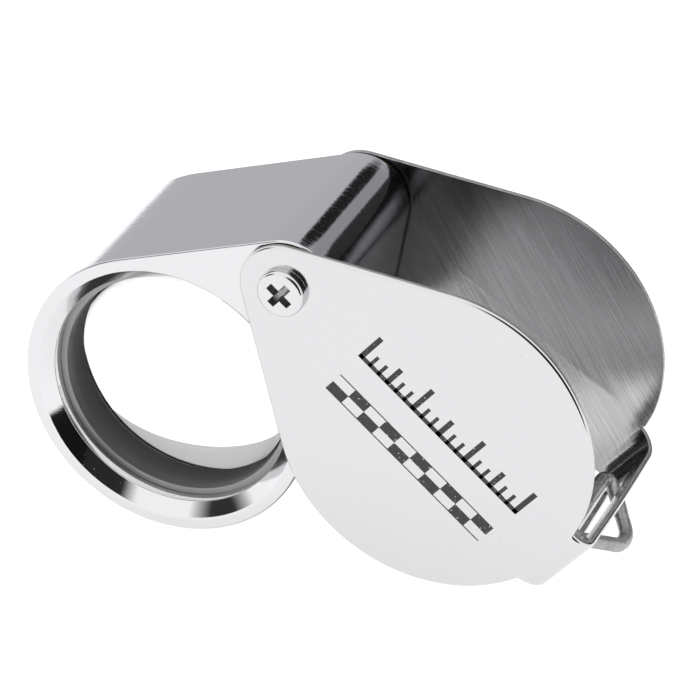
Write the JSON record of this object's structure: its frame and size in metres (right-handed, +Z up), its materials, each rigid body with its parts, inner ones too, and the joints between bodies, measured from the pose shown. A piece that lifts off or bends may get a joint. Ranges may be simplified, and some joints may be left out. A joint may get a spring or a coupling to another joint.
{
  "type": "folding hand lens",
  "caption": "Folding pocket magnifier: a thick cemented lens in a swing-out body pivoted between the plates of a folded metal cover, with a lanyard ring.",
  "frame": {"origin": "middle of the footprint, on the surface the open lens stands on", "axes": "+Z up; +X from the lens body towards the cover's end strap; +Y along the pivot, from the screw head towards the post head"},
  "size_m": [0.0518, 0.0207, 0.0299],
  "materials": {
    "cover_plating": "bright plated outside, brushed inside",
    "body_plating": "bright plated, satin side",
    "dark_metal": "dull dark grey",
    "optical_glass": "clear polished",
    "screw_steel": "polished",
    "washer_brass": "rolled",
    "ring_steel": "dull drawn wire"
  },
  "bodies": {
    "cover": {"cover": "cover_plating", "pivot_screw": "screw_steel", "pivot_post": "screw_steel", "front_washer": "washer_brass", "rear_washer": "washer_brass"},
    "lens": {"lens_body": "body_plating", "lens_cell": "dark_metal", "front_flint_lens": "optical_glass", "crown_lens": "optical_glass", "rear_flint_lens": "optical_glass", "lens_spacer": "dark_metal", "lens_retaining_ring": "body_plating"},
    "ring": {"lanyard_ring": "ring_steel"}
  },
  "joints": [
    {"name": "lens_swing", "type": "hinge", "parent": "cover", "child": "lens", "pos_m": [-0.00107, 0, 0.02579], "axis": [0, -1, 0], "continuous": true},
    {"name": "ring_swing", "type": "hinge", "parent": "cover", "child": "ring", "pos_m": [0.02187, 0, 0.00465], "axis": [0, -1, 0], "range_deg": [-24, 24]}
  ]
}
